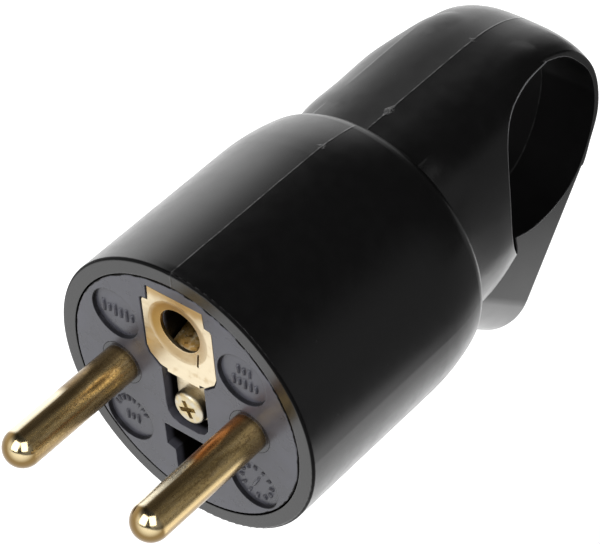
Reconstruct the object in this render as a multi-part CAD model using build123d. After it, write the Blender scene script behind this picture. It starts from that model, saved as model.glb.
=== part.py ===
"""Angled mains plug with a finger-loop handle, built as its separate pieces.

The sizes below are in the plug's own frame: X to the right as the user faces
the pins, Y backwards along the pins (the face is Y = 0, the pins point to
-Y), Z up towards the earth hole.  At the end every piece is turned to the way
the plug lies on a table, on its rim and on the tip of its cord outlet.
"""
from build123d import *
import os
from math import asin, atan2, cos, degrees, hypot, radians, sin, sqrt

# Pins and their towers set the size of the whole plug (mm)
PIN_RADIUS = 2.4
PIN_LENGTH = 19.0
PIN_HALF_SPACING = 9.5
TOWER_RADIUS = 4.9
TOWER_MARGIN = 2.2

# Moulded housing
WALL = 2.0
BODY_RADIUS = PIN_HALF_SPACING + TOWER_RADIUS + TOWER_MARGIN + WALL
RIM_ROUND = 0.35
STRAIGHT_LENGTH = 24.4
SHOULDER_SWEEP = 30.0
SHOULDER_TURN = 14.0
SHOULDER_ROUND = 3.2
CHAMBER_REAR = 31.4

# Neck and finger loop
CROWN_DROP = 1.34
BAND_HALF = 8.0
SEAM_EPS = 0.05
LOOP_OUTER_ROUND = 0.45
UNDERSIDE_FULLNESS = 2.3
OPENING_FLARE = 0.75

# Cord outlet: a round-bottomed tube leaving at this angle below the axis
OUTLET_ANGLE = 40.0
OUTLET_FACE = 55.7
OUTLET_AXIS = 18.4
OUTLET_BOTTOM = 11.6
OUTLET_CORNER = 6.2
OUTLET_EDGE_ROUND = 0.8
WEB_START = 46.0
WEB_TOP = 36.5
CORD_BORE_RADIUS = 4.7
MOUTH_CHAMFER = 0.5

# Contact insert
INSERT_CLEARANCE = 0.15
INSERT_RADIUS = BODY_RADIUS - WALL - INSERT_CLEARANCE
INSERT_THICKNESS = 4.0
MARK_RADIUS = 3.45
MARK_DEPTH = 0.5
MARK_CENTRES = ((-9.5, 7.6), (9.1, 7.7), (-9.4, -8.5), (9.3, -8.5))

# Pins, behind the face
COLLAR_RADIUS = PIN_RADIUS + 0.45
HEAD_RADIUS = 3.5
HEAD_START = INSERT_THICKNESS
HEAD_STEP = 12.2
HEAD_END = 14.4
HEAD_TAIL_RADIUS = 2.7
TOWER_END = 14.0
RING_RADIUS = 4.15
RING_THICKNESS = 0.6
WIRE_HOLE_RADIUS = 1.6
TERMINAL_SCREW_Y = 10.2
TERMINAL_SCREW_RADIUS = 1.5
TERMINAL_HEAD_Z = 5.0
FIT_GAP = 0.05

# Earth contact
EARTH_Z = 9.7
EARTH_HOLE_RADIUS = 2.9
DISH_RADIUS = 4.3
DISH_DEPTH = 0.35
PLATE_THICKNESS = 0.8
PLATE_FRONT = 0.1
PLATE_TOP = 14.7
PLATE_HALF = 5.1
TAB_HALF = 4.0
TAIL_HALF = 2.35
TAIL_FRONT = 1.35
POCKET_GAP = 0.18
SLIT_X = 2.5
SPRING_HALF = 2.5
SPRING_THICKNESS = 0.45
TUNNEL_END = 14.8
LUG_END = 20.3
EARTH_SCREW_Y = 17.7
EARTH_SCREW_RADIUS = 1.5

# Fixing screw on the lower middle of the face
SCREW_Z = -2.2
SCREW_HEAD_RADIUS = 2.2
SCREW_HEAD_HEIGHT = 1.25
SCREW_RADIUS = 1.7
SCREW_END = 20.5
POST_RADIUS = 4.2
POST_START = 14.2
POST_END = 22.8
SLEEVE_RADIUS = 2.7
SLEEVE_LENGTH = 7.0

# Cord clamp under the post
CLAMP_Y = 23.0
CLAMP_WIDTH = 7.0
CLAMP_BAR_TOP = -6.9
CLAMP_BAR_THICKNESS = 1.8
CLAMP_SCREW_X = 6.9
CLAMP_SCREW_RADIUS = 1.25
CLAMP_SCREW_LENGTH = 6.2
CLAMP_NUT_SIDE = 4.4
CLAMP_NUT_THICKNESS = 1.6
CLAMP_NUT_TOP = -10.2
CHANNEL_HALF = 4.0

CHAMBER_RADIUS = BODY_RADIUS - WALL - 0.4


# Helpers
def outlet_point(u, v):
    """Side-view point (Y, Z) at distance u along the outlet and v across it."""
    a = radians(OUTLET_ANGLE)
    return (u * cos(a) + v * sin(a), -u * sin(a) + v * cos(a))


def side_face(points, x=0.0):
    """Closed straight-sided face in the side view, on the plane X = x."""
    return Plane.YZ.offset(x) * make_face(Polyline(*points, close=True))


def side_bar(points, half):
    """Bar of constant side view, from X = -half to X = half."""
    return extrude(side_face(points, -half), amount=2 * half)


def front_bar(points, y0, y1):
    """Bar of constant front view (X, Z), from Y = y0 to Y = y1."""
    face = Plane.XZ.offset(-y0) * make_face(Polyline(*points, close=True))
    return extrude(face, amount=-(y1 - y0))


def rod(radius, x, z, y0, y1):
    """Round rod along Y."""
    return Pos(x, (y0 + y1) / 2, z) * Rot(X=90) * Cylinder(radius, y1 - y0)


def block(x0, x1, y0, y1, z0, z1):
    """Plain block between two corners."""
    return Pos((x0 + x1) / 2, (y0 + y1) / 2, (z0 + z1) / 2) * Box(x1 - x0, y1 - y0, z1 - z0)


def mirrored(points):
    """Front-view outline completed by its mirror image across X = 0."""
    return list(points) + [(-x, z) for x, z in reversed(points)]


# Housing: body of revolution
def body_solid():
    """Cylinder with a soft shoulder, from a revolved half section."""
    t = radians(SHOULDER_TURN)
    sweep_x = BODY_RADIUS - SHOULDER_SWEEP

    def sweep(a):
        return (sweep_x + SHOULDER_SWEEP * cos(a), STRAIGHT_LENGTH + SHOULDER_SWEEP * sin(a))

    end = sweep(t)
    cx = end[0] - SHOULDER_ROUND * cos(t)
    cy = end[1] - SHOULDER_ROUND * sin(t)

    def turn(a):
        return (cx + SHOULDER_ROUND * cos(a), cy + SHOULDER_ROUND * sin(a))

    half = RIM_ROUND * (1 - sqrt(0.5))
    edges = [
        Line((0, 0), (BODY_RADIUS - RIM_ROUND, 0)),
        ThreePointArc((BODY_RADIUS - RIM_ROUND, 0), (BODY_RADIUS - half, half), (BODY_RADIUS, RIM_ROUND)),
        Line((BODY_RADIUS, RIM_ROUND), (BODY_RADIUS, STRAIGHT_LENGTH)),
        ThreePointArc((BODY_RADIUS, STRAIGHT_LENGTH), sweep(t / 2), end),
        ThreePointArc(end, turn(radians(52)), turn(radians(90))),
        Line(turn(radians(90)), (0, turn(radians(90))[1])),
        Line((0, turn(radians(90))[1]), (0, 0)),
    ]
    return revolve(make_face(edges), axis=Axis.Y)


# Housing: neck with rounded cheeks.  Each section: Y, half width, top, bottom and
# how far its top has dropped at the band's edge, as a share of CROWN_DROP.
NECK_SECTIONS = (
    (31.0, 13.4, 15.60, -15.8, 0.78),
    (36.0, 13.3, 15.60, -16.4, 0.74),
    (41.0, 13.3, 15.60, -16.2, 0.68),
    (46.0, 13.1, 15.60, -14.6, 0.60),
    (50.0, 12.4, 15.60, -13.0, 0.56),
    (54.0, 11.2, 15.55, -12.0, 0.62),
    (57.0, 10.0, 15.30, -11.2, 0.78),
)
NECK_END = ((60.0, 8.8, 14.50, -10.4, 4.2), (62.5, 7.8, 13.20, -9.6, 4.2))


def fullness(half_width, half_height, drop):
    """Exponent that makes the section the given drop lower at the band's edge."""
    lo, hi = 1.8, 20.0
    for _ in range(50):
        n = (lo + hi) / 2
        w = (1 - (BAND_HALF / half_width) ** n) ** (1 / n)
        if half_height * (1 - w) > drop:
            lo = n
        else:
            hi = n
    return (lo + hi) / 2


def neck_section(y, half, top, bottom, n):
    """Full, rounded section at one Y: fuller above its middle than below."""
    height = (top - bottom) / 2
    middle = (top + bottom) / 2
    points = []
    for k in range(36):
        a = radians(10 * k - 90)
        m = n if a > 0 and a < radians(180) else UNDERSIDE_FULLNESS
        r = (abs(cos(a) / half) ** m + abs(sin(a) / height) ** m) ** (-1 / m)
        points.append((r * cos(a), middle + r * sin(a)))
    return Plane.XZ.offset(-y) * make_face(Spline(*points, periodic=True))


def neck_solid():
    """Loft through the sections, which narrow towards the loop."""
    faces = []
    for y, half, top, bottom, share in NECK_SECTIONS:
        top = top - SEAM_EPS
        n = fullness(half, (top - bottom) / 2, share * CROWN_DROP)
        faces.append(neck_section(y, half, top, bottom, n))
    for section in NECK_END:
        faces.append(neck_section(*section))
    return loft(faces)


# Housing: finger loop.  Each point: Y, Z and the crown's share of CROWN_DROP there.
LOOP_OUTLINE = (
    (31.0, 15.60, 0.78), (38.0, 15.60, 0.72), (45.0, 15.62, 0.61), (52.0, 15.62, 0.58),
    (57.0, 15.32, 0.76), (61.0, 14.35, 0.94), (64.3, 12.65, 1.0), (67.1, 9.98, 1.0),
    (69.35, 6.50, 1.0), (70.5, 2.00, 1.0), (70.1, -2.40, 1.0), (68.45, -5.90, 1.0),
)
CROWN_STATIONS = (-8.0, -6.2, -3.6, 0.0, 3.6, 6.2, 8.0)


def crown(x):
    """How far the loop's outer surface has dropped at distance x from the seam."""
    half, height, n = 12.6, 14.3, 3.0
    drop = height * (1 - (1 - (abs(x) / half) ** n) ** (1 / n))
    full = height * (1 - (1 - (BAND_HALF / half) ** n) ** (1 / n))
    return CROWN_DROP * drop / full


def loop_outline(x):
    """Side-view wire of the loop at distance x, set in by the crown."""
    points = []
    last = len(LOOP_OUTLINE) - 1
    for k, (y, z, share) in enumerate(LOOP_OUTLINE):
        before = LOOP_OUTLINE[max(k - 1, 0)]
        after = LOOP_OUTLINE[min(k + 1, last)]
        dy, dz = after[0] - before[0], after[1] - before[1]
        drop = crown(x) * share / hypot(dy, dz)
        points.append((y + dz * drop, z - dy * drop))
    start = outlet_point(OUTLET_FACE, WEB_TOP)
    along = outlet_point(0.0, -1.0)
    outer = Spline(*points, start, tangents=[(1, 0), along])
    web = outlet_point(WEB_START + 4.0, WEB_TOP - 3.5)
    inside = [start, web, (49.0, -13.0), (36.0, -6.0), (31.0, -2.0), points[0]]
    return make_face([outer, Polyline(*inside)])


def loop_solid():
    """Crowned strap and its inner web, lofted from side views across the width."""
    strap = loft([Plane.YZ.offset(x) * loop_outline(x) for x in CROWN_STATIONS])
    rims = [e for e in strap.edges() if e.length > 45 and abs(abs(e.center().X) - BAND_HALF) < 0.01]
    return fillet(rims, LOOP_OUTER_ROUND)


def outlet_plane(u, v):
    """Plane square to the outlet, its local Y pointing up and backwards."""
    a = radians(OUTLET_ANGLE)
    y, z = outlet_point(u, v)
    return Plane(origin=(0, y, z), x_dir=(-1, 0, 0), z_dir=(0, cos(a), -sin(a)))


def outlet_section(high):
    """Round-bottomed section of the outlet, flat-sided up to the given height."""
    low, r = OUTLET_BOTTOM, OUTLET_CORNER
    k = r * (1 - sqrt(0.5))
    flat = BAND_HALF - r
    return make_face([
        Polyline((-BAND_HALF, low + r), (-BAND_HALF, high), (BAND_HALF, high), (BAND_HALF, low + r)),
        ThreePointArc((BAND_HALF, low + r), (BAND_HALF - k, low + k), (flat, low)),
        Line((flat, low), (-flat, low)),
        ThreePointArc((-flat, low), (-BAND_HALF + k, low + k), (-BAND_HALF, low + r)),
    ])


def outlet_solid():
    """Tube of the cord outlet and the web above it, ending in one flat face."""
    tube = extrude(outlet_plane(20.0, 0.0) * outlet_section(27.0), amount=27.0)
    web = extrude(outlet_plane(WEB_START, 0.0) * outlet_section(WEB_TOP), amount=OUTLET_FACE - WEB_START)
    outlet = tube + web
    y, z = outlet_point(1.0, 0.0)
    far = outlet.faces().sort_by(Axis((0, 0, 0), (0, y, z)))[-1]
    top = outlet_point(OUTLET_FACE, WEB_TOP)[1]
    return fillet([e for e in far.edges() if e.center().Z < top - 0.1], OUTLET_EDGE_ROUND)


# Finger opening.  Each point: Y, Z and how much of OPENING_FLARE it has.
LOOP_OPENING = (
    (43.8, 3.0, 0.0), (44.0, 6.2, 0.1), (44.8, 9.0, 0.35), (46.2, 11.0, 0.7), (48.2, 12.3, 1.0),
    (51.2, 13.15, 1.0), (54.4, 13.4, 1.0), (57.2, 13.2, 0.85), (59.9, 12.55, 0.5), (62.4, 11.4, 0.2),
    (64.8, 9.2, 0.0), (66.7, 6.8, 0.0), (67.9, 3.9, 0.0), (68.2, 0.9, 0.0), (67.7, -2.1, 0.0),
    (66.5, -5.0, 0.0), (64.6, -7.7, 0.1), (62.2, -9.5, 0.2), (59.2, -10.4, 0.2), (56.0, -10.6, 0.2),
    (52.4, -10.0, 0.0), (48.9, -8.4, 0.0), (46.2, -6.2, 0.0), (44.5, -3.4, 0.0), (43.9, -0.3, 0.0),
)
FLARE_STATIONS = ((-15.0, 1.4), (-9.0, 1.0), (-6.0, 0.45), (-3.0, 0.11), (0.0, 0.0),
                  (3.0, 0.11), (6.0, 0.45), (9.0, 1.0), (15.0, 1.4))


def loop_opening():
    """Egg-shaped finger opening, its upper edge flaring out towards the rims."""
    faces = []
    count = len(LOOP_OPENING)
    for x, amount in FLARE_STATIONS:
        points = []
        for k, (y, z, share) in enumerate(LOOP_OPENING):
            before = LOOP_OPENING[k - 1]
            after = LOOP_OPENING[(k + 1) % count]
            dy, dz = after[0] - before[0], after[1] - before[1]
            out = OPENING_FLARE * share * amount / hypot(dy, dz)
            points.append((y - dz * out, z + dy * out))
        faces.append(Plane.YZ.offset(x) * make_face(Spline(*points, periodic=True)))
    return loft(faces)


def outlet_axis_rod(r0, r1, u0, u1):
    """Cone or rod along the outlet's axis between two distances."""
    near = outlet_plane(u0, OUTLET_AXIS) * Circle(r0)
    far = outlet_plane(u1, OUTLET_AXIS) * Circle(r1)
    return loft([near, far])


def chamber_solid():
    """Wiring chamber and the seat of the insert, revolved."""
    seat = BODY_RADIUS - WALL
    points = [
        (0, -1), (seat, -1), (seat, INSERT_THICKNESS), (CHAMBER_RADIUS, INSERT_THICKNESS),
        (CHAMBER_RADIUS, 27.0), (CHAMBER_RADIUS - 0.9, 29.5), (CHAMBER_RADIUS - 3.6, CHAMBER_REAR),
        (0, CHAMBER_REAR),
    ]
    return revolve(make_face(Polyline(*points, close=True)), axis=Axis.Y)


def make_housing():
    """One-piece moulding: body, neck, finger loop, cord outlet and screw post."""
    outside = body_solid() + neck_solid() + loop_solid() + outlet_solid()
    outside = outside - loop_opening()
    cavity = chamber_solid()
    web = block(-1.9, 1.9, 20.6, CHAMBER_REAR + 1, SCREW_Z, CHAMBER_RADIUS + 1)
    post = rod(POST_RADIUS, 0, SCREW_Z, POST_START, POST_END) + web
    post = post - rod(SLEEVE_RADIUS, 0, SCREW_Z, POST_START - 1, POST_START + 0.4 + SLEEVE_LENGTH)
    post = post - rod(SCREW_RADIUS + 0.15, 0, SCREW_Z, POST_START, POST_END - 2.0)
    housing = outside - (cavity - post)
    housing = housing - outlet_axis_rod(6.6, CORD_BORE_RADIUS, 20.0, 40.0)
    housing = housing - outlet_axis_rod(CORD_BORE_RADIUS, CORD_BORE_RADIUS, 40.0, OUTLET_FACE + 2)
    flare = CORD_BORE_RADIUS + MOUTH_CHAMFER
    housing = housing - outlet_axis_rod(CORD_BORE_RADIUS, flare, OUTLET_FACE - MOUTH_CHAMFER, OUTLET_FACE)
    return housing


# Earth plate
PLATE_BODY = mirrored((
    (TAIL_HALF, 3.0), (3.3, 3.1), (4.7, 4.3), (PLATE_HALF, 5.3), (PLATE_HALF, 12.2), (4.9, 12.5),
    (TAB_HALF + 0.1, 12.6), (TAB_HALF, PLATE_TOP),
))


def plate_outline(grow):
    """Front view of the plate's main part, grown outwards by the given gap."""
    half = [
        (TAIL_HALF + grow, 2.0), (TAIL_HALF + grow, 3.0 - grow), (3.3 + grow, 3.1 - grow),
        (4.7 + grow, 4.3 - grow), (PLATE_HALF + grow, 5.3), (PLATE_HALF + grow, 12.2 + grow),
        (4.9 + grow, 12.5 + grow), (TAB_HALF + 0.1 + grow, 12.6 + grow), (TAB_HALF + grow, PLATE_TOP + grow),
    ]
    return mirrored(half)


def make_earth_plate():
    """Stamped plate with the earth hole, a set-back tail and a folded lug."""
    t = PLATE_THICKNESS
    plate = front_bar(PLATE_BODY, PLATE_FRONT, PLATE_FRONT + t)
    plate = plate - rod(EARTH_HOLE_RADIUS, 0, EARTH_Z, -1, 3)
    dish = Rot(X=90) * Cone(EARTH_HOLE_RADIUS, DISH_RADIUS, DISH_DEPTH)
    plate = plate - Pos(0, PLATE_FRONT + DISH_DEPTH / 2, EARTH_Z) * dish
    step = TAIL_FRONT - PLATE_FRONT
    joggle = side_bar([
        (PLATE_FRONT, 3.3), (PLATE_FRONT + t, 3.3), (PLATE_FRONT + t, 2.9), (TAIL_FRONT + t, 1.9),
        (TAIL_FRONT + t, 1.0), (TAIL_FRONT, 1.0), (TAIL_FRONT, 1.55), (PLATE_FRONT, 1.55 + step * 0.8),
    ], TAIL_HALF)
    tail = block(-TAIL_HALF, TAIL_HALF, TAIL_FRONT, TAIL_FRONT + t, SCREW_Z, 1.4)
    tail = tail + rod(TAIL_HALF, 0, SCREW_Z, TAIL_FRONT, TAIL_FRONT + t)
    tail = tail - rod(SCREW_RADIUS + 0.1, 0, SCREW_Z, -1, 4)
    lug = block(-3.2, 3.2, PLATE_FRONT, LUG_END, PLATE_TOP - t, PLATE_TOP)
    lug = lug - Pos(0, EARTH_SCREW_Y, PLATE_TOP) * Cylinder(EARTH_SCREW_RADIUS + 0.1, 4)
    plate = plate + joggle + tail + lug
    plate = plate - block(SLIT_X - 0.15, SLIT_X + 0.15, -1, PLATE_FRONT + t + 0.01, 5.8, 7.6)
    corners = [e for e in plate.edges().filter_by(Axis.Z) if abs(e.center().Y - LUG_END) < 0.01]
    return fillet(corners, 1.2)


SPRING_LINE = ((0.0, 5.0), (0.55, 5.8), (2.65, 6.62), (4.65, 7.0), (6.85, 6.9), (11.35, 6.0))


def make_earth_spring():
    """Leaf spring that stands behind the plate and bears on the earth pin from below."""
    base = PLATE_FRONT + PLATE_THICKNESS + 0.01
    h = SPRING_THICKNESS / 2
    line = [(base + h + y, z) for y, z in SPRING_LINE]
    upper, lower = [], []
    last = len(line) - 1
    for k, (y, z) in enumerate(line):
        before, after = line[max(k - 1, 0)], line[min(k + 1, last)]
        dy, dz = (0.0, 1.0) if k == 0 else (after[0] - before[0], after[1] - before[1])
        size = hypot(dy, dz)
        upper.append((y - dz / size * h, z + dy / size * h))
        lower.append((y + dz / size * h, z - dy / size * h))
    end = (4.5, -0.9)
    face = make_face([
        Spline(*upper, tangents=[(0, 1), end]),
        Line(upper[-1], lower[-1]),
        Spline(*lower, tangents=[(0, 1), end]),
        Polyline(lower[0], (base + 2 * h, 3.4), (base, 3.4), upper[0]),
    ])
    return extrude(Plane.YZ.offset(-SPRING_HALF) * face, amount=2 * SPRING_HALF)


# Contact insert
def make_insert():
    """Dark front moulding with terminal towers, earth tunnel and cord saddle."""
    t = INSERT_THICKNESS
    disc = rod(INSERT_RADIUS, 0, 0, 0, t)
    front = disc.faces().sort_by(Axis.Y)[0]
    disc = fillet(front.outer_wire().edges(), 0.2)
    insert = disc
    for side in (-1, 1):
        insert = insert + rod(TOWER_RADIUS, side * PIN_HALF_SPACING, 0, t, TOWER_END)
    insert = insert + block(-4.3, 4.3, t, TUNNEL_END, 3.2, 13.4)
    insert = insert + rod(POST_RADIUS - 0.25, 0, SCREW_Z, t, POST_START - 0.3)
    shell = rod(CHAMBER_RADIUS - 0.25, 0, 0, t, CLAMP_Y + CLAMP_WIDTH / 2)
    saddle = shell & block(-20, 20, 0, 30, -20, -14.0)
    bar_low = CLAMP_BAR_TOP - CLAMP_BAR_THICKNESS
    insert = insert + saddle
    for side in (-1, 1):
        near, far = sorted((side * CHANNEL_HALF, side * 9.6))
        y0, y1 = CLAMP_Y - CLAMP_WIDTH / 2, CLAMP_Y + CLAMP_WIDTH / 2
        pillar = shell & block(near, far, y0, y1, -20, bar_low - 0.2)
        insert = insert + pillar
    for side in (-1, 1):
        x = side * PIN_HALF_SPACING
        insert = insert - rod(COLLAR_RADIUS + FIT_GAP, x, 0, -1, t + 1)
        insert = insert - rod(HEAD_RADIUS + FIT_GAP, x, 0, HEAD_START - 0.02, TOWER_END + 1)
        ring_end = HEAD_STEP + RING_THICKNESS + 0.06
        insert = insert - rod(RING_RADIUS + FIT_GAP, x, 0, HEAD_STEP, ring_end)
        insert = insert - block(x - 2.0, x + 2.0, 8.2, HEAD_STEP, 0, 8)
        x = side * CLAMP_SCREW_X
        insert = insert - Pos(x, CLAMP_Y, -12.0) * Cylinder(CLAMP_SCREW_RADIUS + 0.15, 8)
        h = CLAMP_NUT_SIDE / 2 + 0.05
        low = CLAMP_NUT_TOP - CLAMP_NUT_THICKNESS - 0.1
        insert = insert - block(x - h, x + h, CLAMP_Y - h, 30, low, CLAMP_NUT_TOP + 0.02)
    insert = insert - front_bar(plate_outline(POCKET_GAP), -1, PLATE_FRONT + PLATE_THICKNESS + 0.02)
    slot = front_bar(mirrored((
        (1.4, -5.15), (2.4, -4.75), (3.0, -3.9), (3.15, -2.6), (3.15, 3.1), (2.0, 4.0),
    )), -1, TAIL_FRONT + PLATE_THICKNESS + 0.02)
    insert = insert - slot
    insert = insert - rod(SCREW_RADIUS + 0.15, 0, SCREW_Z, -1, 20)
    tunnel = rod(EARTH_HOLE_RADIUS - 0.1, 0, EARTH_Z, -1, 19) + block(-2.75, 2.75, 0, 19, 4.3, EARTH_Z)
    insert = insert - tunnel
    insert = insert - block(-2.75, 2.75, 0, 1.6, 3.0, 6.0)
    lug_slot = block(-3.4, 3.4, -1, t + 1, PLATE_TOP - PLATE_THICKNESS - 0.02, PLATE_TOP + POCKET_GAP)
    insert = insert - lug_slot
    access = front_bar(mirrored((
        (2.6, -13.5), (2.6, -10.1), (3.85, -9.7), (3.85, -6.4),
    )), -1, t + 1)
    insert = insert - access
    for x, z in MARK_CENTRES:
        insert = insert - rod(MARK_RADIUS, x, z, -1, MARK_DEPTH)
    return insert


# Pins and small metal pieces
def make_pin(side):
    """Solid pin turned from bar: round nose, plain shank, collar and terminal head."""
    x = side * PIN_HALF_SPACING
    shank = rod(PIN_RADIUS, x, 0, -PIN_LENGTH + PIN_RADIUS, 0.5)
    shank = shank + rod(COLLAR_RADIUS, x, 0, 0, HEAD_START)
    nose = Pos(x, -PIN_LENGTH + PIN_RADIUS, 0) * Sphere(PIN_RADIUS)
    head = rod(HEAD_RADIUS, x, 0, HEAD_START, HEAD_STEP)
    head = chamfer(head.edges().filter_by(GeomType.CIRCLE), 0.3)
    tail = rod(HEAD_TAIL_RADIUS, x, 0, HEAD_STEP - 1, HEAD_END)
    pin = shank + nose + head + tail
    pin = pin - rod(WIRE_HOLE_RADIUS, x, 0, 6.5, 20)
    hole = Pos(x, TERMINAL_SCREW_Y, 3) * Cylinder(TERMINAL_SCREW_RADIUS + FIT_GAP, 6)
    return pin - hole


def cheese_screw(radius, head_radius, head_height, length, slot_width):
    """Slotted screw standing on its shank, head up, the head's underside at Z = 0."""
    head = Pos(0, 0, head_height / 2) * Cylinder(head_radius, head_height)
    head = fillet(head.edges().group_by(Axis.Z)[-1], min(0.3, head_height / 3))
    shank = Pos(0, 0, -length / 2) * Cylinder(radius, length)
    shank = chamfer(shank.edges().group_by(Axis.Z)[0], 0.2)
    slot = Pos(0, 0, head_height) * Box(slot_width, 3 * head_radius, head_height)
    return head + shank - slot


def cross_screw():
    """Fixing screw with a domed head and a cross recess, head towards -Y."""
    head = Pos(0, 0, SCREW_HEAD_HEIGHT / 2) * Cylinder(SCREW_HEAD_RADIUS, SCREW_HEAD_HEIGHT)
    head = fillet(head.edges().group_by(Axis.Z)[-1], 0.6)
    length = SCREW_END - TAIL_FRONT
    shank = Pos(0, 0, -length / 2) * Cylinder(SCREW_RADIUS, length)
    shank = chamfer(shank.edges().group_by(Axis.Z)[0], 0.4)
    cross = Box(0.62, 2.5, 1.5) + Box(2.5, 0.62, 1.5)
    cross = Pos(0, 0, SCREW_HEAD_HEIGHT) * Rot(Z=22) * cross
    return Pos(0, TAIL_FRONT, SCREW_Z) * Rot(X=90) * (head + shank - cross)


def make_terminal_screw(side):
    """Clamping screw in the top of a pin's head."""
    screw = cheese_screw(TERMINAL_SCREW_RADIUS, 2.2, 1.4, 4.4, 0.6)
    return Pos(side * PIN_HALF_SPACING, TERMINAL_SCREW_Y, TERMINAL_HEAD_Z) * Rot(Z=side * 25) * screw


def make_pin_ring(side):
    """Open spring ring in the tower's groove, behind the step of the pin's head."""
    x = side * PIN_HALF_SPACING
    y0, y1 = HEAD_STEP + 0.03, HEAD_STEP + 0.03 + RING_THICKNESS
    ring = rod(RING_RADIUS, x, 0, y0, y1) - rod(HEAD_TAIL_RADIUS + 0.2, x, 0, y0 - 1, y1 + 1)
    return ring - block(x - 0.9, x + 0.9, y0 - 1, y1 + 1, -4.5, -2.0)


def make_earth_screw():
    """Terminal screw of the earth lug, its head inside the chamber."""
    screw = cheese_screw(EARTH_SCREW_RADIUS, 2.6, 1.5, 2.75, 0.6)
    return Pos(0, EARTH_SCREW_Y, PLATE_TOP - PLATE_THICKNESS - 0.92) * Rot(X=180) * screw


def make_earth_washer():
    """Square clamping plate between the earth screw's head and the lug."""
    top = PLATE_TOP - PLATE_THICKNESS - 0.1
    plate = block(-2.6, 2.6, EARTH_SCREW_Y - 2.6, EARTH_SCREW_Y + 2.5, top - 0.8, top)
    return plate - Pos(0, EARTH_SCREW_Y, top) * Cylinder(EARTH_SCREW_RADIUS + 0.1, 4)


def make_earth_nut():
    """Thin pressed nut above the lug."""
    nut = Pos(0, EARTH_SCREW_Y, PLATE_TOP + 0.47) * Cylinder(2.5, 0.9)
    return nut - Pos(0, EARTH_SCREW_Y, PLATE_TOP) * Cylinder(EARTH_SCREW_RADIUS + FIT_GAP, 5)


def make_sleeve():
    """Brass sleeve pressed into the post; the fixing screw holds in it."""
    sleeve = rod(SLEEVE_RADIUS - 0.02, 0, SCREW_Z, POST_START + 0.3, POST_START + 0.3 + SLEEVE_LENGTH)
    groove = rod(SLEEVE_RADIUS + 1, 0, SCREW_Z, 17.2, 18.2) - rod(SLEEVE_RADIUS - 0.3, 0, SCREW_Z, 17.2, 18.2)
    return sleeve - groove - rod(SCREW_RADIUS + FIT_GAP, 0, SCREW_Z, 10, 30)


def make_clamp_bar():
    """Moulded bar that presses the cord into the saddle."""
    low = CLAMP_BAR_TOP - CLAMP_BAR_THICKNESS
    y0, y1 = CLAMP_Y - CLAMP_WIDTH / 2, CLAMP_Y + CLAMP_WIDTH / 2
    bar = block(-9.1, 9.1, y0, y1, low, CLAMP_BAR_TOP)
    bar = fillet(bar.edges().filter_by(Axis.Z), 1.5)
    for y in (CLAMP_Y - 2.0, CLAMP_Y + 2.0):
        bar = bar + side_rib(y, low)
    for side in (-1, 1):
        bar = bar - Pos(side * CLAMP_SCREW_X, CLAMP_Y, low) * Cylinder(CLAMP_SCREW_RADIUS + 0.2, 6)
    return bar


def side_rib(y, low):
    """Small three-sided gripping rib across the cord, under the bar."""
    rib = side_bar([(y - 0.6, low + 0.1), (y + 0.6, low + 0.1), (y, low - 0.7)], 3.6)
    return rib


def make_clamp_screw(side):
    """Screw that pulls the clamp bar down onto a pillar."""
    screw = cheese_screw(CLAMP_SCREW_RADIUS, 2.1, 1.4, CLAMP_SCREW_LENGTH, 0.55)
    return Pos(side * CLAMP_SCREW_X, CLAMP_Y, CLAMP_BAR_TOP + 0.02) * Rot(Z=side * 40) * screw


def make_clamp_nut(side):
    """Square nut slid into a pillar from behind, for the clamp screw."""
    x, h = side * CLAMP_SCREW_X, CLAMP_NUT_SIDE / 2
    nut = block(x - h, x + h, CLAMP_Y - h, CLAMP_Y + h, CLAMP_NUT_TOP - CLAMP_NUT_THICKNESS, CLAMP_NUT_TOP)
    return nut - Pos(x, CLAMP_Y, CLAMP_NUT_TOP) * Cylinder(CLAMP_SCREW_RADIUS + FIT_GAP, 6)


# Resting attitude: the rim's lowest point and the tip of the outlet touch the table
tip_y, tip_z = outlet_point(OUTLET_FACE - OUTLET_EDGE_ROUND, OUTLET_BOTTOM + OUTLET_EDGE_ROUND)
run_y = tip_y - RIM_ROUND
run_z = tip_z + BODY_RADIUS - RIM_ROUND
REST_TURN = asin((OUTLET_EDGE_ROUND - RIM_ROUND) / hypot(run_y, run_z)) + atan2(-run_z, run_y)


def main():
    """Build every piece, lay the plug down and write one file per piece."""
    pieces = {
        "housing": make_housing(),
        "contact_insert": make_insert(),
        "left_pin": make_pin(-1),
        "right_pin": make_pin(1),
        "left_terminal_screw": make_terminal_screw(-1),
        "right_terminal_screw": make_terminal_screw(1),
        "left_pin_ring": make_pin_ring(-1),
        "right_pin_ring": make_pin_ring(1),
        "earth_plate": make_earth_plate(),
        "earth_spring": make_earth_spring(),
        "earth_terminal_screw": make_earth_screw(),
        "earth_clamp_washer": make_earth_washer(),
        "earth_nut": make_earth_nut(),
        "fixing_screw": cross_screw(),
        "screw_sleeve": make_sleeve(),
        "cord_clamp_bar": make_clamp_bar(),
        "left_clamp_screw": make_clamp_screw(-1),
        "right_clamp_screw": make_clamp_screw(1),
        "left_clamp_nut": make_clamp_nut(-1),
        "right_clamp_nut": make_clamp_nut(1),
    }
    turned = {name: Rot(X=degrees(REST_TURN)) * shape for name, shape in pieces.items()}
    boxes = [shape.bounding_box() for shape in turned.values()]
    low = min(b.min.Z for b in boxes)
    back = max(b.max.Y for b in boxes)
    front = min(b.min.Y for b in boxes)
    os.makedirs("parts", exist_ok=True)
    for name, shape in turned.items():
        placed = Pos(0, -(front + back) / 2, -low) * shape
        export_step(placed, f"parts/{name}.step")
        size = placed.bounding_box().size
        print(f"{name}: {len(placed.solids())} solid(s), {size.X:.1f} x {size.Y:.1f} x {size.Z:.1f}")
    print(f"rest turn {degrees(REST_TURN):.3f} deg, shift Y {-(front + back) / 2:.3f} Z {-low:.3f}")


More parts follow.
